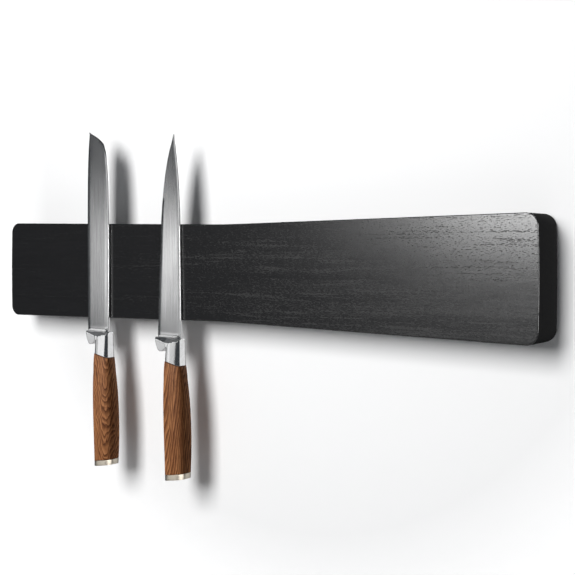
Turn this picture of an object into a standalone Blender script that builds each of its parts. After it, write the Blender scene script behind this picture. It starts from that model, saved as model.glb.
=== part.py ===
"""Wall-mounted magnetic knife rack with the two knives it holds, in metres.

The origin is the centre of the rack's back, on the wall. +X runs along the rack to its
right end, the front faces -Y and +Z is up.
"""

from math import acos, atan2, cos, pi, radians, sin, tan

import bmesh
import bpy
import numpy as np
from mathutils import Matrix, Vector

MM = 0.001
GAP = 0.3 * MM  # clearance kept between neighbouring pieces

# Rack body: a bar that narrows to a waist at mid-length
RACK_LENGTH = 460 * MM
END_HEIGHT = 76 * MM
WAIST_HEIGHT = 68 * MM
RACK_THICKNESS = 28 * MM
END_CROWN = 0.8 * MM  # how far the middle of each end stands out
CORNER_RADIUS = 8 * MM
WAIST_RADIUS = 690 * MM
CROWN_RADIUS = 1100 * MM
ARRIS = 0.5 * MM

# Magnets, each row in a groove that leaves a thin front wall
FRONT_WALL = 3 * MM
MAGNETS_PER_ROW = 8
MAGNET_PITCH = 50 * MM
MAGNET_SIZE = Vector((40, 8, 14)) * MM
YOKE_THICKNESS = 2.5 * MM
ROW_HEIGHT = 15 * MM  # from the rack's centre line up or down to a row
GROOVE_END_ROOM = 2 * MM

# Back board, let into the back of the body
BOARD_LENGTH = 442 * MM
BOARD_HEIGHT = 52 * MM
BOARD_THICKNESS = 13.4 * MM
BOARD_RADIUS = 6 * MM

# Keyhole hangers and wall fixings
HANGER_X = 170 * MM
HANGER_HEIGHT = 44 * MM
HANGER_WIDTH = 18 * MM
HANGER_THICKNESS = 2 * MM
HANGER_CORNER = 2.5 * MM
HANGER_SCREW_OFFSET = 17 * MM
SHANK_Z = 6 * MM  # where the wall screws' shanks carry the rack
KEYHOLE_DROP = 9 * MM  # from the top of the slot down to the round entry
HANGER_Z = SHANK_Z - KEYHOLE_DROP / 2
ENTRY_RADIUS = 5 * MM
SHANK_RADIUS = 2.2 * MM
HEAD_RADIUS = 4.2 * MM
HEAD_THICKNESS = 2.6 * MM
RECESS_REACH = 1.8 * MM  # from the head's middle to the end of each arm of its cross
RECESS_HALF_WIDTH = 0.45 * MM
RECESS_DEPTH = 1.4 * MM
HEAD_POCKET_DEPTH = 5.5 * MM
HEAD_POCKET_RADIUS = 5 * MM
HEAD_CLEARANCE = 1.2 * MM
WALL_SCREW_DEPTH = 32 * MM
WALL_SCREW_POINT = 5 * MM
PLUG_LENGTH = 35 * MM
PLUG_RADIUS = 4 * MM
PLUG_SLIT = 1 * MM
PLUG_COLLAR = 12 * MM  # how much of the plug is left whole at its mouth
SMALL_SCREW_RADIUS = 1.4 * MM
SMALL_HEAD_RADIUS = 2.8 * MM
SMALL_HEAD_DEPTH = 1.5 * MM
SMALL_SCREW_LENGTH = 10 * MM

# Knives: local x from the neck's axis towards the spine, z up from the top of the bolster
SPINE_THICKNESS = 3 * MM
EDGE_THICKNESS = 0.4 * MM
BLADE_BACK = 1.5 * MM  # local y of the flat side, which lies on the rack
GRIND_START = 5 * MM
GRIND_WIDTH = 24 * MM
TANG_WIDTH = 6 * MM
TANG_THICKNESS = 1.8 * MM
TANG_BACK = 1.3 * MM
TANG_LENGTH = 99 * MM
GUARD_THICKNESS = 4.4 * MM
JOINT_Z = -18.3 * MM  # bolster to wood, on the neck's axis
JOINT_SLOPE = -0.2
CAP_TOP_Z = -97.6 * MM
BUTT_Z = -101.6 * MM
HANDLE_FORM_TOP = -15 * MM  # the form runs past the joint and the butt, and is sliced there
HANDLE_FORM_BOTTOM = -106 * MM
HANDLE_ROUNDING = 0.34  # corner radius as a share of the depth
CAP_SLOPE = 0.16
BREAD_KNIFE_X = -117.3 * MM
BREAD_KNIFE_Z = -46.5 * MM
CARVING_KNIFE_X = -44.0 * MM
CARVING_KNIFE_Z = -47.7 * MM

CUT_OVERSHOOT = 5 * MM  # how far a cutter runs past the face that it cuts
RING_ARC_STEPS = 5
HANDLE_STATIONS = 14
ROUND_SIDES = 32

STAINED_WOOD = ((0.018, 0.018, 0.019), 0.42, 0.0)
PLY = ((0.060, 0.045, 0.034), 0.65, 0.0)
MAGNET_COATING = ((0.42, 0.42, 0.44), 0.30, 1.0)
YOKE_STEEL = ((0.25, 0.25, 0.26), 0.45, 1.0)
ZINC = ((0.55, 0.56, 0.58), 0.35, 1.0)
PLUG_PLASTIC = ((0.30, 0.31, 0.33), 0.55, 0.0)
BLADE_STEEL = ((0.46, 0.46, 0.47), 0.32, 1.0)
BOLSTER_STEEL = ((0.62, 0.62, 0.62), 0.18, 1.0)
CAP_STEEL = ((0.60, 0.57, 0.50), 0.38, 1.0)
HANDLE_WOOD = ((0.22, 0.085, 0.032), 0.50, 0.0)


# --- Scene helpers -------------------------------------------------------------------------


def clear_scene():
    for obj in list(bpy.data.objects):
        bpy.data.objects.remove(obj)


def new_collection(name):
    made = bpy.data.collections.new(name)
    bpy.context.scene.collection.children.link(made)
    return made


clear_scene()
PARTS = new_collection("magnetic_knife_rack")
CUTTERS = new_collection("cutters")


def material(name, look):
    colour, roughness, metallic = look
    made = bpy.data.materials.new(name)
    made.use_nodes = True
    shader = made.node_tree.nodes["Principled BSDF"]
    shader.inputs["Base Color"].default_value = (*colour, 1)
    shader.inputs["Roughness"].default_value = roughness
    shader.inputs["Metallic"].default_value = metallic
    return made


def add_object(name, mesh, collection, parent=None):
    obj = bpy.data.objects.new(name, mesh)
    collection.objects.link(obj)
    obj.parent = parent
    return obj


def finish_part(obj, look):
    """Give a part its own material, and shade it smooth away from its sharp edges."""
    obj.data.materials.clear()
    obj.data.materials.append(material(obj.name + "_material", look))
    obj.data.shade_smooth()
    obj.data.set_sharp_from_angle(angle=radians(30))
    return obj


def mesh_of(name, bm):
    mesh = bpy.data.meshes.new(name)
    bmesh.ops.recalc_face_normals(bm, faces=bm.faces)
    bm.to_mesh(mesh)
    bm.free()
    return mesh


def as_cutter(obj):
    obj.hide_render = True
    obj.display_type = "WIRE"
    return obj


def cut(obj, cutter, operation="DIFFERENCE"):
    boolean = obj.modifiers.new(cutter.name, "BOOLEAN")
    boolean.operation = operation
    boolean.object = cutter
    return obj


# --- Shape helpers -------------------------------------------------------------------------


def box_mesh(name, low, high):
    bm = bmesh.new()
    bmesh.ops.create_cube(bm, size=1)
    size = Vector(high) - Vector(low)
    centre = (Vector(high) + Vector(low)) / 2
    bmesh.ops.scale(bm, vec=size, verts=bm.verts)
    bmesh.ops.translate(bm, vec=centre, verts=bm.verts)
    return mesh_of(name, bm)


def box_cutter(name, low, high, parent=None):
    return as_cutter(add_object(name, box_mesh(name, low, high), CUTTERS, parent))


def fillet(before, corner, after, radius, steps):
    """Points of an arc of this radius that touches both sides of a corner."""
    to_before = (before - corner).normalized()
    to_after = (after - corner).normalized()
    half_angle = to_before.angle(to_after) / 2
    tangent = radius / tan(half_angle)
    start = corner + to_before * tangent
    bisector = (to_before + to_after).normalized()
    centre = corner + bisector * (radius / sin(half_angle))
    end = corner + to_after * tangent
    first = start - centre
    sweep = first.angle_signed(end - centre)
    return [centre + Matrix.Rotation(-sweep * i / steps, 2) @ first for i in range(steps + 1)]


def rounded_outline(corners):
    """An outline from (x, z, radius, steps) corners, with an arc at each."""
    points = []
    for i, (x, z, radius, steps) in enumerate(corners):
        before = Vector(corners[i - 1][:2])
        after = Vector(corners[(i + 1) % len(corners)][:2])
        points += fillet(before, Vector((x, z)), after, radius, steps)
    return points


def curve_to_mesh(curve, name, back, thickness, collection, parent):
    """The mesh of a filled XZ outline whose back lies at this y, thickened towards -Y."""
    curve.dimensions = "2D"
    curve.fill_mode = "BOTH"
    curve.extrude = thickness / 2
    flat = add_object(name + "_outline", curve, collection)
    flat.rotation_euler.x = radians(90)
    flat.location.y = back - thickness / 2
    bpy.context.view_layer.update()
    evaluated = flat.evaluated_get(bpy.context.evaluated_depsgraph_get())
    mesh = bpy.data.meshes.new_from_object(evaluated)
    mesh.name = name
    place = flat.matrix_world.copy()
    bpy.data.objects.remove(flat)
    bm = bmesh.new()
    bm.from_mesh(mesh)
    bmesh.ops.remove_doubles(bm, verts=bm.verts, dist=0.001 * MM)
    bmesh.ops.transform(bm, matrix=place, verts=bm.verts)
    bmesh.ops.recalc_face_normals(bm, faces=bm.faces)
    bm.to_mesh(mesh)
    bm.free()
    return add_object(name, mesh, collection, parent)


def poly_plate(name, points, back, thickness, collection=PARTS, parent=None):
    """A plate from straight-sided outline points in XZ."""
    curve = bpy.data.curves.new(name, "CURVE")
    spline = curve.splines.new("POLY")
    spline.points.add(len(points) - 1)
    for knot, point in zip(spline.points, points):
        knot.co = (point[0], point[1], 0, 1)
    spline.use_cyclic_u = True
    return curve_to_mesh(curve, name, back, thickness, collection, parent)


def bezier_plate(name, knots, back, thickness, resolution=6, parent=None):
    """A plate from (x, z, handle) knots, each an AUTO knot on a sweep or a VECTOR corner."""
    curve = bpy.data.curves.new(name, "CURVE")
    curve.resolution_u = resolution
    spline = curve.splines.new("BEZIER")
    spline.bezier_points.add(len(knots) - 1)
    for knot, (x, z, handle) in zip(spline.bezier_points, knots):
        knot.co = (x, z, 0)
        knot.handle_left_type = handle
        knot.handle_right_type = handle
    spline.use_cyclic_u = True
    return curve_to_mesh(curve, name, back, thickness, PARTS, parent)


def turned(name, profile, collection=PARTS, parent=None, sides=ROUND_SIDES):
    """A solid turned about its local Z from an (r, z) profile that runs down its outer side."""
    mesh = bpy.data.meshes.new(name)
    bm = bmesh.new()
    knots = [bm.verts.new((r, 0, z)) for r, z in profile]
    for upper, lower in zip(knots, knots[1:]):
        bm.edges.new((upper, lower))
    bm.to_mesh(mesh)
    bm.free()
    obj = add_object(name, mesh, collection, parent)
    screw = obj.modifiers.new("turn", "SCREW")
    screw.steps = sides
    screw.render_steps = sides
    screw.use_merge_vertices = True
    screw.merge_threshold = 0.001 * MM
    return obj


def section_ring(bm, x, z, width, depth, radius):
    """A level rounded rectangle of vertices, centred at x."""
    ring = []
    for quarter, (side_x, side_y) in enumerate(((1, 1), (-1, 1), (-1, -1), (1, -1))):
        centre_x = x + side_x * (width / 2 - radius)
        centre_y = side_y * (depth / 2 - radius)
        for i in range(RING_ARC_STEPS + 1):
            angle = (quarter + i / RING_ARC_STEPS) * pi / 2
            corner = (centre_x + radius * cos(angle), centre_y + radius * sin(angle), z)
            ring.append(bm.verts.new(corner))
    return ring


def loft(sections):
    """A closed bmesh through (x, z, width, depth, radius) sections from the top down."""
    bm = bmesh.new()
    rings = [section_ring(bm, *section) for section in sections]
    for upper, lower in zip(rings, rings[1:]):
        for i in range(len(upper)):
            bm.faces.new((upper[i - 1], upper[i], lower[i], lower[i - 1]))
    bm.faces.new(rings[0])
    bm.faces.new(rings[-1])
    bmesh.ops.recalc_face_normals(bm, faces=bm.faces)
    return bm


def slice_off(bm, z, slope, above):
    """Cut a closed bmesh by a plane that crosses x = 0 at z, and close the cut."""
    normal = Vector((-slope, 0, 1)) if above else Vector((slope, 0, -1))
    geometry = bm.verts[:] + bm.edges[:] + bm.faces[:]
    made = bmesh.ops.bisect_plane(
        bm, geom=geometry, plane_co=(0, 0, z), plane_no=normal, dist=1e-7, clear_outer=True
    )
    rim = [item for item in made["geom_cut"] if isinstance(item, bmesh.types.BMEdge)]
    bmesh.ops.contextual_create(bm, geom=rim)


# --- Rack ----------------------------------------------------------------------------------


def rack_outline():
    half_length = RACK_LENGTH / 2
    end_x = half_length - END_CROWN
    end_z = END_HEIGHT / 2
    waist_z = WAIST_HEIGHT / 2
    corner = (CORNER_RADIUS, 8)
    waist = (WAIST_RADIUS, 4)
    crown = (CROWN_RADIUS, 4)
    return rounded_outline(
        [
            (end_x, end_z, *corner),
            (half_length, 0, *crown),
            (end_x, -end_z, *corner),
            (0, -waist_z, *waist),
            (-end_x, -end_z, *corner),
            (-half_length, 0, *crown),
            (-end_x, end_z, *corner),
            (0, waist_z, *waist),
        ]
    )


def rounded_rectangle(width, height, radius, steps=5):
    x, z = width / 2, height / 2
    corners = ((x, z), (x, -z), (-x, -z), (-x, z))
    return rounded_outline([(*corner, radius, steps) for corner in corners])


def moved(points, x, z):
    return [(px + x, pz + z) for px, pz in points]


def groove_cutter(name, row_z):
    half_length = ((MAGNETS_PER_ROW - 1) * MAGNET_PITCH + MAGNET_SIZE.x) / 2 + GROOVE_END_ROOM
    half_height = MAGNET_SIZE.z / 2 + GAP
    bottom = -RACK_THICKNESS + FRONT_WALL
    low = (-half_length, bottom, row_z - half_height)
    high = (half_length, CUT_OVERSHOOT, row_z + half_height)
    return box_cutter(name, low, high)


def make_wood_body():
    body = poly_plate("wood_body", rack_outline(), 0, RACK_THICKNESS)
    arris = body.modifiers.new("arris", "BEVEL")
    arris.width = ARRIS
    arris.segments = 2
    arris.limit_method = "ANGLE"
    arris.angle_limit = radians(60)
    rebate = rounded_rectangle(BOARD_LENGTH, BOARD_HEIGHT, BOARD_RADIUS)
    depth = BOARD_THICKNESS + GAP
    mouth = 2 * CUT_OVERSHOOT
    cut(body, as_cutter(poly_plate("rebate_cutter", rebate, mouth, depth + mouth, CUTTERS)))
    cut(body, groove_cutter("upper_groove_cutter", ROW_HEIGHT))
    cut(body, groove_cutter("lower_groove_cutter", -ROW_HEIGHT))
    return finish_part(body, STAINED_WOOD)


def make_magnets():
    front = -RACK_THICKNESS + FRONT_WALL + GAP
    half = MAGNET_SIZE / 2
    for row, row_z in (("upper", ROW_HEIGHT), ("lower", -ROW_HEIGHT)):
        for i in range(MAGNETS_PER_ROW):
            name = f"{row}_magnet_{i + 1}"
            x = (i - (MAGNETS_PER_ROW - 1) / 2) * MAGNET_PITCH
            magnet = add_object(name, box_mesh(name, -half, half), PARTS)
            magnet.location = (x, front + half.y, row_z)
            finish_part(magnet, MAGNET_COATING)


def make_yokes():
    half_length = ((MAGNETS_PER_ROW - 1) * MAGNET_PITCH + MAGNET_SIZE.x) / 2
    half = Vector((half_length, YOKE_THICKNESS / 2, MAGNET_SIZE.z / 2))
    front = -RACK_THICKNESS + FRONT_WALL + GAP + MAGNET_SIZE.y + GAP
    for row, row_z in (("upper", ROW_HEIGHT), ("lower", -ROW_HEIGHT)):
        name = row + "_yoke"
        yoke = add_object(name, box_mesh(name, -half, half), PARTS)
        yoke.location = (0, front + half.y, row_z)
        finish_part(yoke, YOKE_STEEL)


def side_name(side):
    return "right" if side > 0 else "left"


def small_screw_places(side):
    """Where the two small screws of the hanger on this side sit, as (name, x, z)."""
    end = side_name(side)
    x = side * HANGER_X
    return [
        (f"{end}_hanger_upper_screw", x, HANGER_Z + HANGER_SCREW_OFFSET),
        (f"{end}_hanger_lower_screw", x, HANGER_Z - HANGER_SCREW_OFFSET),
    ]


def small_screw(name, x, z, grown, collection):
    """A countersunk screw into the board, its head towards the wall, larger all round by this."""
    profile = [
        (0, grown),
        (SMALL_HEAD_RADIUS + grown, grown),
        (SMALL_SCREW_RADIUS + grown, -SMALL_HEAD_DEPTH),
        (SMALL_SCREW_RADIUS + grown, -SMALL_SCREW_LENGTH * 0.8 - grown),
        (0, -SMALL_SCREW_LENGTH - grown),
    ]
    screw = turned(name, profile, collection, sides=24)
    screw.location = (x, 0, z)
    screw.rotation_euler.x = radians(-90)
    return screw


def pocket_cutter(name, width, height, radius, depth, x):
    """A rounded pocket into the back, round the middle of a hanger."""
    outline = moved(rounded_rectangle(width, height, radius), x, HANGER_Z)
    mouth = CUT_OVERSHOOT + depth  # each depth gets its own mouth, so that no two cutters' faces meet
    return as_cutter(poly_plate(name, outline, mouth, mouth + depth, CUTTERS))


def keyhole_cutter(name, x):
    """The keyhole through a hanger: a slot with a round top, and a larger round entry below."""
    slot_radius = SHANK_RADIUS + GAP
    entry_z = SHANK_Z - KEYHOLE_DROP
    meet = acos(slot_radius / ENTRY_RADIUS)
    slot_angles = np.linspace(0, pi, 13)
    entry_angles = np.linspace(pi - meet, 2 * pi + meet, 25)
    slot = [(x + slot_radius * cos(a), SHANK_Z + slot_radius * sin(a)) for a in slot_angles]
    entry = [(x + ENTRY_RADIUS * cos(a), entry_z + ENTRY_RADIUS * sin(a)) for a in entry_angles]
    return as_cutter(poly_plate(name, slot + entry, CUT_OVERSHOOT, 2 * CUT_OVERSHOOT, CUTTERS))


def make_back_board():
    outline = rounded_rectangle(BOARD_LENGTH - 2 * GAP, BOARD_HEIGHT - 2 * GAP, BOARD_RADIUS - GAP)
    board = poly_plate("back_board", outline, 0, BOARD_THICKNESS)
    seat_depth = HANGER_THICKNESS + GAP
    head_room = HEAD_RADIUS + HEAD_CLEARANCE
    for side in (-1, 1):
        x = side * HANGER_X
        end = side_name(side)
        seat_size = (HANGER_WIDTH + 2 * GAP, HANGER_HEIGHT + 2 * GAP, HANGER_CORNER + GAP)
        pocket_size = (2 * head_room, KEYHOLE_DROP + 2 * head_room, HEAD_POCKET_RADIUS)
        cut(board, pocket_cutter(end + "_hanger_seat", *seat_size, seat_depth, x))
        cut(board, pocket_cutter(end + "_head_pocket", *pocket_size, seat_depth + HEAD_POCKET_DEPTH, x))
        for name, screw_x, screw_z in small_screw_places(side):
            cut(board, as_cutter(small_screw(name + "_hole", screw_x, screw_z, GAP, CUTTERS)))
    return finish_part(board, PLY)


def make_hanger(side):
    x = side * HANGER_X
    end = side_name(side)
    outline = moved(rounded_rectangle(HANGER_WIDTH, HANGER_HEIGHT, HANGER_CORNER), x, HANGER_Z)
    hanger = poly_plate(end + "_keyhole_hanger", outline, 0, HANGER_THICKNESS)
    cut(hanger, keyhole_cutter(end + "_keyhole", x))
    for name, screw_x, screw_z in small_screw_places(side):
        cut(hanger, bpy.data.objects[name + "_hole"])
        finish_part(small_screw(name, screw_x, screw_z, 0, PARTS), ZINC)
    return finish_part(hanger, ZINC)


def into_wall(obj, side):
    """Point a turned piece's local -Z into the wall, where this side's shank goes in."""
    obj.location = (side * HANGER_X, 0, SHANK_Z)
    obj.rotation_euler.x = radians(90)
    return obj


def make_wall_screw(side):
    """A pan-head screw: its head sits behind the hanger, and its shank runs through into the wall."""
    end = side_name(side)
    under_head = HANGER_THICKNESS + GAP
    top = under_head + HEAD_THICKNESS
    dome_height = HEAD_THICKNESS * 0.6
    dome = [
        (HEAD_RADIUS * sin(a), top - dome_height * (1 - cos(a)))
        for a in np.linspace(0, pi / 2, 5)
    ]
    shank = [
        (HEAD_RADIUS, under_head),
        (SHANK_RADIUS, under_head),
        (SHANK_RADIUS, -WALL_SCREW_DEPTH + WALL_SCREW_POINT),
        (0, -WALL_SCREW_DEPTH),
    ]
    screw = into_wall(turned(end + "_wall_screw", dome + shank), side)
    reach, narrow = RECESS_REACH, RECESS_HALF_WIDTH
    for name, half_x, half_y in (("_recess_bar", reach, narrow), ("_recess_cross", narrow, reach)):
        low = (-half_x, -half_y, top - RECESS_DEPTH)
        high = (half_x, half_y, top + half_x)  # a height of each one's own, so that no two tops meet
        cut(screw, into_wall(box_cutter(end + name, low, high), side))
    return finish_part(screw, ZINC)


def make_wall_plug(side):
    """A plug with a blind bore, slit into four from its tip, its mouth level with the wall."""
    end = side_name(side)
    bore = SHANK_RADIUS + GAP
    bore_end = WALL_SCREW_DEPTH + GAP
    profile = [
        (0, -bore_end),
        (bore, -bore_end + 1 * MM),
        (bore, -GAP),
        (PLUG_RADIUS, -GAP),
        (PLUG_RADIUS, -PLUG_LENGTH + 2 * MM),
        (PLUG_RADIUS - 1 * MM, -PLUG_LENGTH),
        (0, -PLUG_LENGTH),
    ]
    plug = into_wall(turned(end + "_wall_plug", profile), side)
    wide, narrow = 6 * MM, PLUG_SLIT / 2
    for name, half_x, half_y in (("_slit_level", wide, narrow), ("_slit_upright", narrow, wide)):
        low = (-half_x, -half_y, -PLUG_LENGTH - half_x)
        high = (half_x, half_y, -PLUG_COLLAR)
        cut(plug, into_wall(box_cutter(end + name, low, high), side))
    return finish_part(plug, PLUG_PLASTIC)


# --- Knives --------------------------------------------------------------------------------


def knife_empty(name, x, z):
    empty = bpy.data.objects.new(name, None)
    empty.location = (x, -RACK_THICKNESS - GAP - BLADE_BACK, z)
    PARTS.objects.link(empty)
    return empty


def bread_blade_knots():
    """A straight edge under a blunt tip that slopes down from the edge to the spine."""
    return [
        (-19.6 * MM, 0, "VECTOR"),
        (-20.1 * MM, 105 * MM, "AUTO"),
        (-19.3 * MM, 136 * MM, "AUTO"),
        (-17.8 * MM, 153.6 * MM, "VECTOR"),
        (-2.6 * MM, 144.3 * MM, "AUTO"),
        (-0.2 * MM, 140.6 * MM, "AUTO"),
        (2.4 * MM, 127 * MM, "AUTO"),
        (3.9 * MM, 104 * MM, "AUTO"),
        (4.9 * MM, 0, "VECTOR"),
    ]


def carving_blade_knots():
    """A long belly that rises to a point near the spine."""
    return [
        (-18.7 * MM, 0, "VECTOR"),
        (-16.6 * MM, 56 * MM, "AUTO"),
        (-13.3 * MM, 107 * MM, "AUTO"),
        (-7.6 * MM, 134.5 * MM, "AUTO"),
        (-1.9 * MM, 147.7 * MM, "VECTOR"),
        (2.6 * MM, 114 * MM, "AUTO"),
        (4.4 * MM, 62 * MM, "AUTO"),
        (5.7 * MM, 0, "VECTOR"),
    ]


def tang_box(name, grown, bottom, top, knife):
    """The tang's own box between two heights, larger all round by this."""
    half_width = TANG_WIDTH / 2 + grown
    low = (-half_width, TANG_BACK - TANG_THICKNESS - grown, bottom)
    high = (half_width, TANG_BACK + grown, top)
    return box_cutter(name, low, high, knife)


def make_blade(name, knots, knife):
    """Blade and tang in one: flat against the rack, its front ground down from spine to edge."""
    blade = bezier_plate(name, knots, BLADE_BACK, SPINE_THICKNESS, parent=knife)
    grind = box_cutter(name + "_grind", (-80 * MM, -20 * MM, -10 * MM), (20 * MM, 0, 180 * MM), knife)
    grind.location = (GRIND_START, BLADE_BACK - SPINE_THICKNESS, 0)
    grind.rotation_euler.z = -atan2(SPINE_THICKNESS - EDGE_THICKNESS, GRIND_WIDTH)
    cut(blade, grind)
    cut(blade, tang_box(name + "_tang", 0, -TANG_LENGTH, 5 * MM, knife), "UNION")
    return finish_part(blade, BLADE_STEEL)


def make_bolster(name, knife):
    """Thin where it meets the blade, then a thick neck that flares to the handle."""
    top = -GAP
    sections = [
        (-7.2 * MM, top, 23.4 * MM, GUARD_THICKNESS, 1.4 * MM),
        (-6.2 * MM, top - 1.6 * MM, 22 * MM, 5.6 * MM, 1.8 * MM),
        (-3.6 * MM, top - 3.6 * MM, 18 * MM, 8.2 * MM, 2.2 * MM),
        (-1.2 * MM, top - 6 * MM, 14.2 * MM, 9 * MM, 2.2 * MM),
        (-0.5 * MM, top - 9 * MM, 13 * MM, 9 * MM, 2.2 * MM),
        (-0.6 * MM, top - 14 * MM, 13.3 * MM, 9.2 * MM, 2.2 * MM),
        (-0.6 * MM, top - 17 * MM, 13.8 * MM, 10 * MM, 2.6 * MM),
        (-0.6 * MM, top - 21 * MM, 14.4 * MM, 10.9 * MM, 3 * MM),
    ]
    bm = loft(sections)
    slice_off(bm, JOINT_Z + GAP / 2, JOINT_SLOPE, above=False)
    bolster = add_object(name, mesh_of(name, bm), PARTS, knife)
    guard_knots = [
        (-3 * MM, -0.6 * MM, "VECTOR"),
        (-3 * MM, -8 * MM, "VECTOR"),
        (-7.5 * MM, -7.4 * MM, "AUTO"),
        (-10.2 * MM, -8.9 * MM, "AUTO"),
        (-14.2 * MM, -9.9 * MM, "AUTO"),
        (-17.6 * MM, -5.6 * MM, "AUTO"),
        (-18.7 * MM, -0.6 * MM, "VECTOR"),
    ]
    guard_thickness = GUARD_THICKNESS - 0.6 * MM
    guard = bezier_plate(name + "_guard", guard_knots, guard_thickness / 2, guard_thickness, 5, knife)
    move_to_cutters(guard)
    cut(bolster, guard, "UNION")
    cut(bolster, tang_box(name + "_slot", GAP, -40 * MM, 5 * MM, knife))
    return finish_part(bolster, BOLSTER_STEEL)


def move_to_cutters(obj):
    PARTS.objects.unlink(obj)
    CUTTERS.objects.link(obj)
    return as_cutter(obj)


def handle_profile(values):
    """A smooth curve through five evenly spaced values down the handle's length, in millimetres."""
    return np.polynomial.Polynomial.fit(np.linspace(0, 1, 5), values, 4)


def handle_form():
    """The handle and its cap in one: narrow at the bolster, fullest two thirds of the way down."""
    edge_side = handle_profile((7.4, 9.1, 8.6, 7.7, 7.1))
    spine_side = handle_profile((6.5, 9.9, 11.5, 11.8, 10.6))
    depth_of = handle_profile((10.6, 13.7, 14.8, 14.4, 13.2))
    sections = []
    for s in np.linspace(0, 1, HANDLE_STATIONS):
        left, right, depth = edge_side(s), spine_side(s), depth_of(s)
        z = HANDLE_FORM_TOP + (HANDLE_FORM_BOTTOM - HANDLE_FORM_TOP) * s
        centre = (right - left) / 2
        sections.append((centre * MM, z, (left + right) * MM, depth * MM, depth * HANDLE_ROUNDING * MM))
    return loft(sections)


def make_handle(name, knife):
    bm = handle_form()
    slice_off(bm, JOINT_Z - GAP / 2, JOINT_SLOPE, above=True)
    slice_off(bm, CAP_TOP_Z + GAP / 2, CAP_SLOPE, above=False)
    handle = add_object(name, mesh_of(name, bm), PARTS, knife)
    cut(handle, tang_box(name + "_bore", GAP, -120 * MM, 5 * MM, knife))
    return finish_part(handle, HANDLE_WOOD)


def make_end_cap(name, knife):
    bm = handle_form()
    slice_off(bm, CAP_TOP_Z - GAP / 2, CAP_SLOPE, above=True)
    slice_off(bm, BUTT_Z, CAP_SLOPE, above=False)
    cap = add_object(name, mesh_of(name, bm), PARTS, knife)
    cut(cap, tang_box(name + "_socket", GAP, -TANG_LENGTH - GAP, 5 * MM, knife))
    return finish_part(cap, CAP_STEEL)


def make_knife(kind, x, z, knots):
    knife = knife_empty(kind + "_frame", x, z)
    make_blade(kind + "_blade", knots, knife)
    make_bolster(kind + "_bolster", knife)
    make_handle(kind + "_handle", knife)
    make_end_cap(kind + "_end_cap", knife)


make_wood_body()
make_magnets()
make_yokes()
make_back_board()
for hanger_side in (-1, 1):
    make_hanger(hanger_side)
    make_wall_screw(hanger_side)
    make_wall_plug(hanger_side)
make_knife("bread_knife", BREAD_KNIFE_X, BREAD_KNIFE_Z, bread_blade_knots())
make_knife("carving_knife", CARVING_KNIFE_X, CARVING_KNIFE_Z, carving_blade_knots())
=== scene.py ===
"""Looks for the magnetic knife rack: finer pieces on the CAD frame, materials, lights, camera."""

from math import cos, pi, radians, sin, tan

import bmesh
import bpy
import numpy as np
from mathutils import Matrix, Vector


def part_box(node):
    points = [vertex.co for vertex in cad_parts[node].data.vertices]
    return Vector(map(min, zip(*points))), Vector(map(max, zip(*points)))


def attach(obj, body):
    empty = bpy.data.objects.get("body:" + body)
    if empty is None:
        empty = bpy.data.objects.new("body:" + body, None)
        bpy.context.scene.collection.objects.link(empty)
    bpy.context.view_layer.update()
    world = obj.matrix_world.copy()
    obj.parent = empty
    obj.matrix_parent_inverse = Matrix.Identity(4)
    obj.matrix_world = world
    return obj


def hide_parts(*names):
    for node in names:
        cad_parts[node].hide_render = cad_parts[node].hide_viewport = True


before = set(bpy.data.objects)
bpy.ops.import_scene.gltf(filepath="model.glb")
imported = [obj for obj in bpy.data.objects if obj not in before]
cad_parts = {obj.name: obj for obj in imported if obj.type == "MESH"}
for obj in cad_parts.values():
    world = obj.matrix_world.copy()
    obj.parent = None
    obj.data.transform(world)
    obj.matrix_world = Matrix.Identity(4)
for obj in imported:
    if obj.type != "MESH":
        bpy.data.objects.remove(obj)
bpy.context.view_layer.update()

MM = 0.001
GAP = 0.3 * MM  # between two pieces that fit into or against each other
SAME = 0.001 * MM  # lengths that differ by less are taken for equal
PAST = 5 * MM  # how far a cutter runs past the face it opens

# --- Rack body, as in the CAD

RACK_LENGTH = 460 * MM
END_HEIGHT = 76 * MM
WAIST_HEIGHT = 68 * MM
END_CROWN = 0.8 * MM
CORNER_RADIUS = 8 * MM
WAIST_RADIUS = 690 * MM
CROWN_RADIUS = 1100 * MM
ARRIS = 0.6 * MM
FACE_RIM = 0.3 * MM  # narrow faces round the front that keep its shading flat

# --- Knives. Their own axes: x towards the spine, y to the wall, z up from the bolster

BLADE_BACK = 1.5 * MM
SPINE_REACH = {"bread_knife": 4.9 * MM, "carving_knife": 5.7 * MM}
BLADE_LENGTH = {"bread_knife": 153.6 * MM, "carving_knife": 147.7 * MM}
SPINE_THICKNESS = 3 * MM
TIP_THINNING = 0.6 * MM
EDGE_THICKNESS = 0.6 * MM
GRIND_WIDTH = 24 * MM
HEEL_HEIGHT = 2.2 * MM
HEEL_SWELL = 1.1 * MM
HEEL_CURVE = 1.3

# Narrow facets along a blade, each with the most of the blade's width that it may take
EDGE_BEVEL, EDGE_BEVEL_SHARE = 1.1 * MM, 0.25
SPINE_ARRIS, BACK_ARRIS, ARRIS_SHARE = 1.1 * MM, 0.6 * MM, 0.2
BACK_BEVEL, BACK_BEVEL_SHARE = 0.2 * MM, 0.1
EDGE_LAND = 0.12 * MM

# Where a blade's level sections stand: more of them at the heel and in the last part, the point
POINT_START = 0.86
POINT_CUT = 0.04 * MM
HEEL_SECTIONS, GRIND_SECTIONS, POINT_SECTIONS = 14, 60, 70

TANG_HALF_WIDTH = 3 * MM
TANG_FRONT = 0.5 * MM
TANG_BACK = 1.3 * MM
TANG_ROOT = 2 * MM

# The bolster's neck at its top and foot, in mm: left, right, depth, z, and how square each half is
NECK_TOP = (-7.1, 6.4, 7.4, 0.3, 4, 8)
NECK_FOOT = (-8.0, 6.9, 9.8, -22.0, 4, 6)

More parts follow.
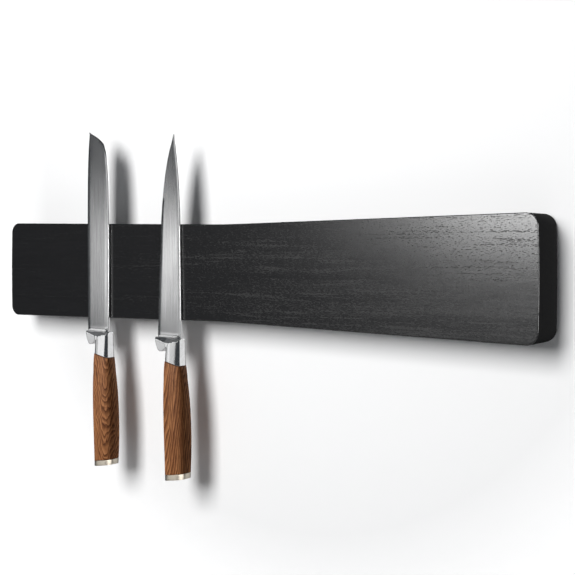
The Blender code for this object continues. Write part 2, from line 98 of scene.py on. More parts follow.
# The finger guard's outline, in mm: x, z, corner radius, and the steps that round it
GUARD_CORNERS = (
    (-2, 0.3, 0.4, 2), (-19.2, 0.3, 0.6, 4), (-17.6, -5.5, 5.0, 6), (-14.9, -10.2, 3.0, 8),
    (-9.4, -9.6, 3.2, 8), (-6.6, -6.6, 0.8, 4), (-2, -7, 0.4, 2),
)
GUARD_FRONT, GUARD_BACK = -3.7 * MM, 1.9 * MM
GUARD_THINNING = radians(-8)
GUARD_THINNING_FROM = (-7 * MM, -3.6 * MM, 0)

# The scooped shoulders: x in mm, and the shoulder's outward slope there
FRONT_SHOULDER = (
    (-30, 0.6), (-18.5, 0.6), (-12, 0.62), (-6.5, 0.68), (-3, 0.8), (0, 1.1), (6, 2.6), (12, 2.6)
)
BACK_SHOULDER = ((-30, 0.9), (12, 0.9))
FRONT_SHOULDER_START, BACK_SHOULDER_START = 1.2, 1.7
SHOULDER_DROP = 9.0

# A joined bolster is remeshed at this size and smoothed so many times, for its forged corners
FORGED_VOXEL = 0.22 * MM
FORGED_SMOOTHING = 8

# The handle and its cap are one form, in mm: five stations from its top to its butt
FORM_EDGE_SIDE = (7.8, 9.2, 8.6, 7.7, 7.1)
FORM_SPINE_SIDE = (6.6, 10.3, 11.9, 12.2, 11.0)
FORM_DEPTH = (9.4, 13.0, 14.6, 14.4, 13.2)
FORM_TOP, FORM_BUTT = -15, -106
FORM_SQUARENESS, TOP_SQUARENESS, TOP_SHARE = 2.9, 1.7, 1 / 6

# The level planes that part bolster, handle and cap, tilted by a slope along x
JOINT_Z, JOINT_SLOPE = -18.3 * MM, -0.2
CAP_TOP_Z, BUTT_Z, CAP_SLOPE = -97.6 * MM, -101.6 * MM, 0.16
HANDLE_ARRIS, CAP_ARRIS = 0.25 * MM, 0.4 * MM

# --- Stage, lights and camera

WALL_Y = 0.4 * MM
FLOOR_Z = -0.8
AMBIENT = (0.052, 0.056, 0.062)
BACKDROP = (0.88, 0.88, 0.88)

# The points that softboxes face
AT_BLADES = (-0.1, -0.03, 0.0)
AT_BOLSTERS = (-0.08, -0.04, -0.05)
AT_HANDLES = (-0.08, -0.04, -0.1)
AT_CAPS = (-0.08, -0.04, -0.14)

CAMERA_PLACE = (0.4463, -0.5652, 0.0181)
CAMERA_TURN = radians(36.09)
CAMERA_LENS = 62.54
CAMERA_SHIFT = -0.0701


# --- Mesh helpers --------------------------------------------------------------------------


def link(name, bm):
    """A new object in the scene from a bmesh, which is freed."""
    mesh = bpy.data.meshes.new(name)
    bm.to_mesh(mesh)
    bm.free()
    obj = bpy.data.objects.new(name, mesh)
    bpy.context.scene.collection.objects.link(obj)
    return obj


def solid(name, bm):
    """A new object from a closed bmesh, with its faces turned outwards."""
    bmesh.ops.recalc_face_normals(bm, faces=bm.faces)
    return link(name, bm)


def apply_modifiers(obj):
    bpy.context.view_layer.update()
    graph = bpy.context.evaluated_depsgraph_get()
    mesh = bpy.data.meshes.new_from_object(obj.evaluated_get(graph))
    obj.modifiers.clear()
    obj.data = mesh


def combine(obj, tool, operation="DIFFERENCE"):
    """Cut or join one mesh with another, which is then removed."""
    boolean = obj.modifiers.new("combine", "BOOLEAN")
    boolean.operation = operation
    boolean.object = tool
    apply_modifiers(obj)
    bpy.data.objects.remove(tool)


def box_tool(low, high):
    """A box between two corners, for combine."""
    bm = bmesh.new()
    bmesh.ops.create_cube(bm, size=1)
    low, high = Vector(low), Vector(high)
    bmesh.ops.scale(bm, vec=high - low, verts=bm.verts)
    bmesh.ops.translate(bm, vec=(high + low) / 2, verts=bm.verts)
    return solid("tool", bm)


def settle(obj, body, slot, materials, *nodes, angle=40):
    """Finish a piece: shading, materials, the body it rides on and the CAD nodes it stands for."""
    for material in materials:
        obj.data.materials.append(material)
    obj.data.shade_smooth()
    obj.data.set_sharp_from_angle(angle=radians(angle))
    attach(obj, body)
    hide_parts(*nodes)
    return obj


def fillet(before, corner, after, radius, steps):
    """Points along the arc of this radius that rounds the corner of an outline."""
    to_before = (before - corner).normalized()
    to_after = (after - corner).normalized()
    half_angle = to_before.angle(to_after) / 2
    start = corner + to_before * (radius / tan(half_angle))
    end = corner + to_after * (radius / tan(half_angle))
    centre = corner + (to_before + to_after).normalized() * (radius / sin(half_angle))
    first = start - centre
    sweep = first.angle_signed(end - centre)
    return [centre + Matrix.Rotation(-sweep * i / steps, 2) @ first for i in range(steps + 1)]


def rounded_outline(corners):
    """A closed outline through corners given as x, z, radius and steps."""
    points = []
    for i, (x, z, radius, steps) in enumerate(corners):
        before = Vector(corners[i - 1][:2])
        after = Vector(corners[(i + 1) % len(corners)][:2])
        points += fillet(before, Vector((x, z)), after, radius, steps)
    return points


def tube(rings):
    """A closed bmesh through rings of the same number of points, with both ends filled."""
    bm = bmesh.new()
    rows = [[bm.verts.new(point) for point in ring] for ring in rings]
    for upper, lower in zip(rows, rows[1:]):
        for i in range(len(upper)):
            bm.faces.new((upper[i - 1], upper[i], lower[i], lower[i - 1]))
    bm.faces.new(rows[0])
    bm.faces.new(rows[-1])
    bmesh.ops.recalc_face_normals(bm, faces=bm.faces)
    return bm


def prism(outline, front, back):
    """A closed bmesh from an XZ outline between two values of y."""
    return tube([[(x, y, z) for x, z in outline] for y in (front, back)])


def slice_off(bm, z, slope, above):
    """Cut a closed bmesh by a plane at this height, drop the part above or below, and fill."""
    normal = Vector((-slope, 0, 1)) if above else Vector((slope, 0, -1))
    geometry = bm.verts[:] + bm.edges[:] + bm.faces[:]
    made = bmesh.ops.bisect_plane(
        bm, geom=geometry, plane_co=(0, 0, z), plane_no=normal, dist=1e-7, clear_outer=True
    )
    rim = [item for item in made["geom_cut"] if isinstance(item, bmesh.types.BMEdge)]
    bmesh.ops.contextual_create(bm, geom=rim)


def round_edges(bm, width, segments, angle):
    """Round the edges whose faces meet at more than this angle in degrees."""
    bm.normal_update()
    sharp = [e for e in bm.edges if e.is_manifold and e.calc_face_angle() > radians(angle)]
    bmesh.ops.bevel(
        bm, geom=sharp, offset=width, segments=segments, profile=0.5, affect="EDGES",
        clamp_overlap=True,
    )


# --- Node helpers --------------------------------------------------------------------------


def node(tree, kind, inputs=None, **settings):
    """A node with its properties and inputs set; an input that is given a socket is linked."""
    made = tree.nodes.new("ShaderNode" + kind)
    for key, value in settings.items():
        setattr(made, key, value)
    for key, value in (inputs or {}).items():
        if isinstance(value, bpy.types.NodeSocket):
            tree.links.new(value, made.inputs[key])
        else:
            made.inputs[key].default_value = value
    return made


def surface(name, metallic=0.0, specular=0.5):
    """A new material with these values on its shader, its node tree and that shader."""
    made = bpy.data.materials.new(name)
    made.use_nodes = True
    tree = made.node_tree
    shader = tree.nodes["Principled BSDF"]
    shader.inputs["Metallic"].default_value = metallic
    shader.inputs["Specular IOR Level"].default_value = specular
    return made, tree, shader


def dress(tree, shader, colour, roughness, height, depth):
    """Give a shader its colour and its roughness, and fine relief of this depth."""
    relief = node(tree, "Bump", {"Height": height, "Distance": depth}).outputs["Normal"]
    for name, value in (("Base Color", colour), ("Roughness", roughness), ("Normal", relief)):
        tree.links.new(value, shader.inputs[name])


def position(tree):
    """Object coordinates, in metres, which are the row frame's."""
    return node(tree, "TexCoord").outputs["Object"]


def place(tree, scale, shift=(0, 0, 0), turn=(0, 0, 0)):
    """The position shifted, turned and then scaled along each axis."""
    moved = node(
        tree, "Mapping", {"Vector": position(tree), "Location": shift, "Rotation": turn}
    )
    return node(tree, "Mapping", {"Vector": moved.outputs[0], "Scale": scale}).outputs[0]


def noise(tree, scale, detail=2, roughness=0.5, distortion=0.0, shift=(0, 0, 0), turn=(0, 0, 0)):
    """A noise value whose features number so many to the metre along each axis."""
    inputs = {
        "Vector": place(tree, scale, shift, turn), "Scale": 1, "Detail": detail,
        "Roughness": roughness, "Distortion": distortion,
    }
    return node(tree, "TexNoise", inputs).outputs["Fac"]


def ramp(tree, value, *stops):
    """A colour ramp from (position, colour) stops; a single number stands for a grey."""
    made = node(tree, "ValToRGB", {"Fac": value})
    elements = made.color_ramp.elements
    while len(elements) < len(stops):
        elements.new(0.5)
    for element, (where, colour) in zip(elements, stops):
        element.position = where
        element.color = (colour,) * 3 + (1,) if isinstance(colour, float) else (*colour, 1)
    return made.outputs["Color"]


def rescale(tree, value, start, end, at_start, at_end):
    """Map a value from one range to another, held at its ends."""
    limits = {
        "Value": value, "From Min": start, "From Max": end, "To Min": at_start, "To Max": at_end
    }
    return node(tree, "MapRange", limits).outputs["Result"]


def calculate(tree, operation, a, b=0.0):
    return node(tree, "Math", {0: a, 1: b}, operation=operation).outputs[0]


def mix(tree, blend, factor, a, b):
    """Two colours blended; 6 and 7 are a Mix node's colour inputs, and 2 its colour output."""
    inputs = {"Factor": factor, 6: a, 7: b}
    return node(tree, "Mix", inputs, data_type="RGBA", blend_type=blend).outputs[2]


# --- Materials -----------------------------------------------------------------------------


def stained_face():
    """Black-stained wood under a satin lacquer, its grain along the rack and open at the right.

    The pores are matt pits in rows. They close where the grain closes, towards the left."""
    made, tree, shader = surface("stained_wood_face")
    fibres = noise(tree, (45, 200, 1300), detail=4, roughness=0.6)
    pores = noise(tree, (480, 1100, 2300), roughness=0.7, shift=(0.3, 0, 0))
    speckle = noise(tree, (900, 1300, 2100), roughness=0.8)
    bands = noise(tree, (3, 10, 110), detail=3, roughness=0.55, distortion=0.4)
    veins = noise(tree, (20, 300, 650), detail=3, roughness=0.6, shift=(0.1, 0, 0))

    rows = calculate(tree, "MULTIPLY", pores, ramp(tree, veins, (0.36, 0.80), (0.48, 1.04)))
    in_bands = calculate(tree, "MULTIPLY", rows, ramp(tree, bands, (0.35, 0.90), (0.65, 1.06)))
    x = node(tree, "SeparateXYZ", {0: position(tree)}).outputs["X"]
    closing = rescale(tree, x, start=-0.12, end=0.03, at_start=1.35, at_end=1.0)
    open_grain = calculate(tree, "MULTIPLY", in_bands, closing)
    pits = ramp(tree, open_grain, (0.37, 0.0), (0.415, 1.0))

    tint = ramp(tree, fibres, (0.3, (0.0062, 0.0062, 0.0066)), (0.7, (0.0092, 0.0092, 0.0097)))
    banded = mix(tree, "MULTIPLY", 0.3, tint, ramp(tree, bands, (0.35, 0.45), (0.65, 1.0)))
    colour = mix(tree, "MULTIPLY", 0.9, banded, pits)

    satin = ramp(tree, speckle, (0.3, 0.16), (0.7, 0.23))
    streaks = ramp(tree, mix(tree, "MIX", 0.5, bands, fibres), (0.40, 0.04), (0.55, 0.0))
    dull = ramp(tree, pits, (0.0, 0.50), (1.0, 0.0))
    lacquer = mix(tree, "ADD", 1.0, mix(tree, "ADD", 1.0, satin, streaks), dull)

    grain = calculate(tree, "ADD", calculate(tree, "MULTIPLY", fibres, 0.25), speckle)
    dress(tree, shader, colour, lacquer, grain, 0.009 * MM)
    return made


def stained_edge_painted_shade():
    """The same stain on the cut edges, where it soaks in and dries matt. Its colour is darker than
    the face's as painted shade, so that the end face stays dark under the rack's right-hand
    softbox.
    """
    made, tree, shader = surface("stained_wood_edge_painted_shade", specular=0.008)
    fibres = noise(tree, (90, 1400, 1400), detail=3, roughness=0.6)
    # painted shade: this colour is kept darker than the face's so the end face stays dark under
    # the rack_right softbox
    colour = ramp(tree, fibres, (0.3, (0.0045, 0.0045, 0.0048)), (0.7, (0.009, 0.009, 0.009)))
    dress(tree, shader, colour, ramp(tree, fibres, (0.3, 0.82), (0.7, 0.95)), fibres, 0.04 * MM)
    return made


def brushed_steel():
    """Blade steel with fine grinding lines along the blade."""
    made, tree, shader = surface("brushed_blade_steel", metallic=1)
    lines = noise(tree, (2600, 2600, 22), detail=3, roughness=0.7)
    cloud = noise(tree, (60, 60, 30))
    colour = ramp(tree, lines, (0.25, 0.44), (0.75, 0.70))
    dress(tree, shader, colour, ramp(tree, cloud, (0.3, 0.21), (0.7, 0.27)), lines, 0.004 * MM)
    return made


def polished_steel():
    """Bolster steel, polished, with the haze and light scratches of use."""
    made, tree, shader = surface("polished_bolster_steel", metallic=1)
    haze = noise(tree, (250, 250, 250), detail=4, roughness=0.6)
    scratches = noise(tree, (900, 900, 5000), turn=(0.3, 0.5, 0))
    colour = ramp(tree, haze, (0.3, 0.70), (0.7, 0.80))
    roughness = ramp(tree, haze, (0.3, 0.10), (0.7, 0.17))
    dress(tree, shader, colour, roughness, scratches, 0.001 * MM)
    return made


def satin_cap():
    """The end cap's satin steel, slightly warm."""
    made, tree, shader = surface("satin_cap_steel", metallic=1)
    lines = noise(tree, (300, 300, 3500), detail=3, roughness=0.6)
    colour = ramp(tree, lines, (0.3, (0.62, 0.55, 0.45)), (0.7, (0.76, 0.69, 0.58)))
    dress(tree, shader, colour, ramp(tree, lines, (0.3, 0.30), (0.7, 0.40)), lines, 0.003 * MM)
    return made


def handle_wood(name, heart, lean, wander, drift):
    """Oiled brown hardwood: growth rings cut as long arches about one line, with dark veins.

    The arches stand about the upright line at the heart's x and y. A lean turns the grain. The
    rings wander to the sides, and a smaller drift draws that out along the handle."""
    made, tree, shader = surface(name, specular=0.14)
    from_heart = (-heart[0], -heart[1], 0)
    along = node(tree, "SeparateXYZ", {0: place(tree, (1, 0.8, 1), from_heart)})
    x, y, z = (along.outputs[axis] for axis in "XYZ")

    crown = (3.5 * MM) ** 2  # rounds the arches' tops
    squares = calculate(
        tree, "ADD", calculate(tree, "MULTIPLY", x, x), calculate(tree, "MULTIPLY", y, y)
    )
    out = calculate(tree, "SQRT", calculate(tree, "ADD", squares, crown))
    sway = noise(tree, (95, 95, 150 * drift), shift=from_heart)
    swayed = calculate(tree, "ADD", out, calculate(tree, "MULTIPLY", sway, 8 * MM))
    ring = calculate(tree, "ADD", swayed, calculate(tree, "MULTIPLY", z, lean))
    unrolled = node(
        tree, "CombineXYZ", {"X": ring, "Y": y, "Z": calculate(tree, "MULTIPLY", z, drift)}
    )
    wave = {
        "Vector": unrolled.outputs[0], "Scale": 205, "Distortion": wander, "Detail": 3,
        "Detail Scale": 1.3, "Detail Roughness": 0.65,
    }
    rings = node(
        tree, "TexWave", wave, wave_type="BANDS", bands_direction="X", wave_profile="SAW"
    )
    base = ramp(
        tree, rings.outputs["Color"],
        (0.0, (0.115, 0.040, 0.013)), (0.2, (0.19, 0.070, 0.024)), (0.45, (0.31, 0.126, 0.048)),
        (0.8, (0.48, 0.215, 0.085)), (1.0, (0.25, 0.095, 0.036)),
    )

    fibres = noise(tree, (1500, 1500, 90), detail=4, roughness=0.65, shift=from_heart)
    pores = noise(tree, (2600, 2600, 200), roughness=0.6, shift=from_heart)
    patches = noise(tree, (150, 150, 30), shift=from_heart)
    streaks = ramp(tree, fibres, (0.3, (0.36, 0.26, 0.18)), (0.6, 1.0))
    pricks = ramp(tree, pores, (0.3, (0.3, 0.22, 0.18)), (0.45, 1.0))
    stains = ramp(tree, patches, (0.35, (0.55, 0.44, 0.38)), (0.6, 1.0))
    colour = base
    for strength, layer in ((0.7, streaks), (0.6, pricks), (0.5, stains)):
        colour = mix(tree, "MULTIPLY", strength, colour, layer)
    dress(tree, shader, colour, ramp(tree, fibres, (0.3, 0.60), (0.7, 0.42)), fibres, 0.05 * MM)
    return made


def back_board_ply():
    """Dark plywood, dull, with coarse grain along the board."""
    made, tree, shader = surface("back_board_ply", specular=0.3)
    fibres = noise(tree, (40, 400, 900), detail=4, roughness=0.6)
    colour = ramp(tree, fibres, (0.3, (0.035, 0.026, 0.020)), (0.7, (0.085, 0.064, 0.048)))
    dress(tree, shader, colour, ramp(tree, fibres, (0.3, 0.75), (0.7, 0.58)), fibres, 0.08 * MM)
    return made


def cloudy_metal(name, dark, light, roughness, clouds):
    """Plated or bare metal with a cloudy finish, so many clouds to the metre."""
    made, tree, shader = surface(name, metallic=1)
    cloud = noise(tree, (clouds,) * 3, detail=4, roughness=0.6)
    dulled = ramp(tree, cloud, (0.3, roughness + 0.08), (0.7, roughness - 0.08))
    dress(tree, shader, ramp(tree, cloud, (0.3, dark), (0.7, light)), dulled, cloud, 0.01 * MM)
    return made


def plug_plastic():
    """Grey moulded plastic."""
    made, tree, shader = surface("plug_plastic")
    grain = noise(tree, (1800,) * 3)
    colour = ramp(tree, grain, (0.3, (0.26, 0.27, 0.29)), (0.7, (0.34, 0.35, 0.37)))
    dress(tree, shader, colour, ramp(tree, grain, (0.3, 0.58), (0.7, 0.46)), grain, 0.02 * MM)
    return made


# --- Rack ----------------------------------------------------------------------------------


def rack_outline():
    """The bar's front: straight runs from a wide waist arc to rounded corners, ends crowned."""
    half_length, end_z, waist_z = RACK_LENGTH / 2, END_HEIGHT / 2, WAIST_HEIGHT / 2
    end_x = half_length - END_CROWN
    corner, waist, crown = (CORNER_RADIUS, 20), (WAIST_RADIUS, 16), (CROWN_RADIUS, 12)
    return rounded_outline(
        [
            (end_x, end_z, *corner), (half_length, 0, *crown), (end_x, -end_z, *corner),
            (0, -waist_z, *waist),
            (-end_x, -end_z, *corner), (-half_length, 0, *crown), (-end_x, end_z, *corner),
            (0, waist_z, *waist),
        ]
    )


def recess_tool(low, high, mouth):
    """A cutter for what lies between these corners, with a gap round it, open to the back."""
    grow = Vector((GAP, GAP, GAP))
    low, high = low - grow, high + grow
    return box_tool(low, (high.x, mouth, high.z))


def make_rack_body():
    low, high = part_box("wood_body")
    bm = prism(rack_outline(), low.y, high.y)
    round_edges(bm, ARRIS, segments=4, angle=60)
    # The flat front has far more corners than the narrow faces of the arris round it
    front = [f for f in bm.faces if f.normal.y < -0.999 and len(f.verts) > 8]
    bmesh.ops.inset_region(bm, faces=front, thickness=FACE_RIM, use_even_offset=True)
    face_limit = low.y + ARRIS * 1.01  # the lacquered face ends where the arris does
    for f in bm.faces:
        f.material_index = 0 if all(v.co.y < face_limit for v in f.verts) else 1
    body = solid("rack_body", bm)
    board_low, board_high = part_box("back_board")
    mouth = high.y + PAST
    combine(body, recess_tool(board_low, board_high, mouth))
    for row in ("upper", "lower"):
        yoke_low, yoke_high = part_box(row + "_yoke")
        magnet_low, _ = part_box(row + "_magnet_1")
        groove_low = Vector((yoke_low.x, magnet_low.y, yoke_low.z))
        combine(body, recess_tool(groove_low, yoke_high, mouth))
    materials = (stained_face(), stained_edge_painted_shade())
    return settle(body, "rack", "stained_wood", materials, "wood_body", angle=35)


# --- Blades --------------------------------------------------------------------------------


def knife_origin(kind):
    """Where the knife's own axes start, from its CAD blade's box."""
    _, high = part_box(kind + "_blade")
    return high - Vector((SPINE_REACH[kind], BLADE_BACK, BLADE_LENGTH[kind]))


def blade_edges(kind, origin):
    """Heights, and the x of the cutting edge and of the spine there, off the CAD blade's back."""
    points = [v.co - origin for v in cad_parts[kind + "_blade"].data.vertices]
    on_back = [p for p in points if abs(p.y - BLADE_BACK) < SAME and p.z > -SAME]
    outline = {(round(p.x, 7), round(p.z, 7)) for p in on_back}
    tip_x, tip_z = max(outline, key=lambda p: p[1])
    middle = np.mean([x for x, z in outline if z < SAME])
    edge, spine = [(tip_z, tip_x)], [(tip_z, tip_x)]
    for x, z in outline:
        side = spine if x > middle + (tip_x - middle) * z / tip_z else edge
        side.append((z, x))
    point_z = POINT_START * tip_z
    heel = np.linspace(-GAP, HEEL_HEIGHT, HEEL_SECTIONS)
    grind = np.linspace(HEEL_HEIGHT, point_z, GRIND_SECTIONS)
    point = np.linspace(point_z, tip_z - POINT_CUT, POINT_SECTIONS)
    heights = np.concatenate([heel, grind[1:], point[1:]])
    edge_x = np.interp(heights, *np.array(sorted(edge)).T)
    spine_x = np.interp(heights, *np.array(sorted(spine)).T)
    return heights, edge_x, spine_x


def blade_section(edge_x, spine_x, z, tip_z, spine_line):
    """One level section of a blade, from the cutting edge over the front to the spine and back.

    The ground front is one face; the spine's line and the cutting edge only cut it off."""
    width = spine_x - edge_x
    bevel_x = edge_x + min(EDGE_BEVEL, EDGE_BEVEL_SHARE * width)
    arris = min(SPINE_ARRIS, ARRIS_SHARE * width)
    back_arris = min(BACK_ARRIS, ARRIS_SHARE * width)
    thickness = SPINE_THICKNESS - TIP_THINNING * max(0.0, z) / tip_z
    rise = (thickness - EDGE_THICKNESS) / GRIND_WIDTH
    heel = HEEL_SWELL * max(0.0, 1 - z / HEEL_HEIGHT) ** HEEL_CURVE

    def front(x):
        return BLADE_BACK - thickness + rise * (spine_line - x) - heel

    points = [(edge_x, BLADE_BACK - EDGE_LAND)]
    points += [(x, front(x)) for x in np.linspace(bevel_x, spine_x - arris, 8)]
    for angle in np.linspace(0, pi / 2, 7)[1:]:
        y = front(spine_x - arris) + arris * (1 - cos(angle))
        points.append((spine_x - arris * (1 - sin(angle)), y))
    for angle in np.linspace(0, pi / 2, 5):
        y = BLADE_BACK - back_arris * (1 - sin(angle))
        points.append((spine_x - back_arris * (1 - cos(angle)), y))
    points.append((edge_x + min(BACK_BEVEL, BACK_BEVEL_SHARE * width), BLADE_BACK))
    return [Vector((x, y, z)) for x, y in points]


def tang_tool(kind, origin, top, gap=0.0):
    """A box along a knife's tang, with a gap round it, from the tang's foot to this height."""
    foot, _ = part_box(kind + "_blade")
    half_width = TANG_HALF_WIDTH + gap
    low = (origin.x - half_width, origin.y - (TANG_FRONT + gap), foot.z)
    high = (origin.x + half_width, origin.y + (TANG_BACK + gap), origin.z + top)
    return box_tool(low, high)


def make_blade(kind, origin, steel):
    heights, edge_x, spine_x = blade_edges(kind, origin)
    tip_z, line = heights[-1], SPINE_REACH[kind]
    stations = zip(heights, edge_x, spine_x)
    bm = tube([blade_section(edge, spine, z, tip_z, line) for z, edge, spine in stations])
    bmesh.ops.translate(bm, vec=origin, verts=bm.verts)
    blade = solid(kind + "_ground_blade", bm)
    combine(blade, tang_tool(kind, origin, TANG_ROOT), "UNION")
    return settle(blade, kind, "blade_steel", [steel], kind + "_blade", angle=35)


# --- Bolsters ------------------------------------------------------------------------------


def squarish_ring(left, right, depth, z, squareness, sides=72):
    """A level section, in mm: an oval whose faces flatten as its two halves get squarer."""
    centre, half_width, half_depth = (right + left) / 2, (right - left) / 2, depth / 2
    ring = []
    for i in range(sides):
        angle = 2 * pi * (i + 0.5) / sides
        c, s = cos(angle), sin(angle)
        power = 2 / squareness[c > 0]
        x = centre + half_width * abs(c) ** power * (1 if c > 0 else -1)
        y = half_depth * abs(s) ** power * (1 if s > 0 else -1)
        ring.append(Vector((x, y, z)) * MM)
    return ring


def neck():
    """The thick part of a bolster, which swells evenly to meet the handle."""
    top, foot = np.array(NECK_TOP), np.array(NECK_FOOT)
    rings = []
    for step in np.linspace(0, 1, 16):
        left, right, depth, z, *squareness = top + (foot - top) * step
        rings.append(squarish_ring(left, right, depth, z, squareness, sides=96))
    bm = tube(rings)
    slice_off(bm, JOINT_Z + GAP / 2, JOINT_SLOPE, above=False)
    return bm


def finger_guard():
    """A plate on the cutting-edge side, which thins towards its rounded tip."""
    outline = rounded_outline([(x * MM, z * MM, r * MM, n) for x, z, r, n in GUARD_CORNERS])
    guard = solid("tool", prism(outline, GUARD_FRONT, GUARD_BACK))
    # A block in front of the guard, turned so that it cuts deeper towards the tip
    thinning = box_tool((-40 * MM, -20 * MM, -20 * MM), (0, 0, 10 * MM))
    turned = Matrix.Rotation(GUARD_THINNING, 4, "Z")
    thinning.data.transform(Matrix.Translation(GUARD_THINNING_FROM) @ turned)
    combine(guard, thinning)
    return guard


def shoulder_tool(start, stations, side):
    """All that lies outside one scooped shoulder, which starts so many mm off the middle."""
    outside, above, rings = 40, 6, []
    for x, slope in stations:
        profile = (
            (start, 0.0), (start + slope * SHOULDER_DROP, -SHOULDER_DROP),
            (outside, -SHOULDER_DROP), (outside, above), (start, above),
        )
        rings.append([Vector((x, side * y, z)) * MM for y, z in profile])
    bm = tube(rings)
    bmesh.ops.triangulate(bm, faces=bm.faces)
    return solid("tool", bm)


def make_bolster(kind, origin, steel):
    bolster = solid(kind + "_forged_bolster", neck())
    combine(bolster, finger_guard(), "UNION")
    combine(bolster, shoulder_tool(FRONT_SHOULDER_START, FRONT_SHOULDER, -1))
    combine(bolster, shoulder_tool(BACK_SHOULDER_START, BACK_SHOULDER, 1))
    remesh = bolster.modifiers.new("remesh", "REMESH")
    remesh.mode = "VOXEL"
    remesh.voxel_size = FORGED_VOXEL
    smooth = bolster.modifiers.new("smooth", "SMOOTH")
    smooth.iterations = FORGED_SMOOTHING
    smooth.factor = 0.5
    apply_modifiers(bolster)
    bolster.data.transform(Matrix.Translation(origin))
    combine(bolster, tang_tool(kind, origin, PAST, GAP))
    return settle(bolster, kind, "bolster_steel", [steel], kind + "_bolster", angle=50)


# --- Handles and caps ----------------------------------------------------------------------


def smooth_through(values):
    """A smooth curve over 0 to 1 through evenly spaced values."""
    stations = np.linspace(0, 1, len(values))
    return np.polynomial.Polynomial.fit(stations, values, len(values) - 1)


def handle_form():
    """The form that handle and cap are cut from, squarer where it leaves the bolster."""
    edge_side = smooth_through(FORM_EDGE_SIDE)
    spine_side = smooth_through(FORM_SPINE_SIDE)
    depth = smooth_through(FORM_DEPTH)
    rings = []
    for s in np.linspace(0, 1, 46):
        z = FORM_TOP + (FORM_BUTT - FORM_TOP) * s
        square = FORM_SQUARENESS + TOP_SQUARENESS * max(0.0, 1 - s / TOP_SHARE)
        rings.append(squarish_ring(-edge_side(s), spine_side(s), depth(s), z, (square, square)))
    return tube(rings)


def make_handle(kind, origin, wood):
    bm = handle_form()
    slice_off(bm, JOINT_Z - GAP / 2, JOINT_SLOPE, above=True)
    slice_off(bm, CAP_TOP_Z + GAP / 2, CAP_SLOPE, above=False)
    round_edges(bm, HANDLE_ARRIS, segments=3, angle=50)
    bmesh.ops.translate(bm, vec=origin, verts=bm.verts)
    handle = solid(kind + "_wood_handle", bm)
    return settle(handle, kind, "handle_wood", [wood], kind + "_handle")


def make_cap(kind, origin, steel):
    bm = handle_form()
    slice_off(bm, CAP_TOP_Z - GAP / 2, CAP_SLOPE, above=True)
    slice_off(bm, BUTT_Z, CAP_SLOPE, above=False)
    round_edges(bm, CAP_ARRIS, segments=3, angle=50)
    bmesh.ops.translate(bm, vec=origin, verts=bm.verts)
    cap = solid(kind + "_butt_cap", bm)
    return settle(cap, kind, "cap_steel", [steel], kind + "_end_cap")


# --- Carried-over CAD nodes ----------------------------------------------------------------


def paint(words, material):
    """Give this material to every CAD node whose name holds one of these words."""
    for name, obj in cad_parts.items():
        if any(word in name for word in words):
            for slot in obj.material_slots:
                slot.material = material


# --- Stage, lights and camera --------------------------------------------------------------


def backdrop_matt(name, colour):
    """A pale matt surface that a view from behind looks straight through."""
    made, tree, shader = surface(name, specular=0.1)
    shader.inputs["Base Color"].default_value = (*colour, 1)
    shader.inputs["Roughness"].default_value = 0.9
    behind = node(tree, "NewGeometry").outputs["Backfacing"]
    clear = node(tree, "BsdfTransparent").outputs[0]
    mixed = node(tree, "MixShader", {0: behind, 1: shader.outputs[0], 2: clear})
    tree.links.new(mixed.outputs[0], tree.nodes["Material Output"].inputs["Surface"])
    return made, tree, shader


def lift_away_from(tree, shader, centre, start, end, strength):
    """Lighten a backdrop past some distance from a point, where the key light falls off."""
    both = {0: position(tree), 1: centre}
    away = node(tree, "VectorMath", both, operation="DISTANCE").outputs["Value"]
    shader.inputs["Emission Color"].default_value = (1, 1, 1, 1)
    lift = rescale(tree, away, start, end, 0, strength)
    tree.links.new(lift, shader.inputs["Emission Strength"])


def stage_plane(name, centre, size, turn, material):
    bm = bmesh.new()
    bmesh.ops.create_grid(bm, x_segments=1, y_segments=1, size=0.5)
    bmesh.ops.scale(bm, vec=(*size, 1), verts=bm.verts)
    bmesh.ops.rotate(bm, matrix=Matrix.Rotation(turn, 3, "X"), verts=bm.verts)
    bmesh.ops.translate(bm, vec=centre, verts=bm.verts)
    obj = link(name, bm)
    obj.data.materials.append(material)
    return obj


def make_stage():
    """A wall behind the rack, which only the camera sees and shadows fall on, and a floor."""
    pale, tree, shader = backdrop_matt("pale_wall", (0.9, 0.9, 0.9))
    lift_away_from(tree, shader, (0.03, 0, 0.07), start=0.25, end=0.42, strength=0.5)
    wall = stage_plane("wall", (0, WALL_Y, 0.4), (4, 2.4), pi / 2, pale)
    wall.visible_shadow = False
    wall.visible_diffuse = False
    wall.visible_glossy = False
    floor_material, _, _ = backdrop_matt("pale_floor", (0.85, 0.85, 0.85))
    return stage_plane("floor", (0, -0.5, FLOOR_Z), (5, 5), 0, floor_material)


def make_world():
    """Faint light from all round, and a pale backdrop that only the camera sees."""
    world = bpy.data.worlds.new("studio")
    bpy.context.scene.world = world
    world.use_nodes = True
    tree = world.node_tree
    seen = node(tree, "LightPath").outputs["Is Camera Ray"]
    lights = tree.nodes["Background"]
    lights.inputs["Color"].default_value = (*AMBIENT, 1)
    backdrop = node(tree, "Background", {"Color": (*BACKDROP, 1)})
    mixed = node(tree, "MixShader", {0: seen, 1: lights.outputs[0], 2: backdrop.outputs[0]})
    tree.links.new(mixed.outputs[0], tree.nodes["World Output"].inputs["Surface"])


def link_light(light, pieces, state="INCLUDE"):
    """Have a light fall on these pieces only, or on all but these with EXCLUDE."""
    receivers = bpy.data.collections.new(light.name + "_receivers")
    for piece in pieces:
        receivers.objects.link(piece)
    for item in receivers.collection_objects:
        item.light_linking.link_state = state
    light.light_linking.receiver_collection = receivers


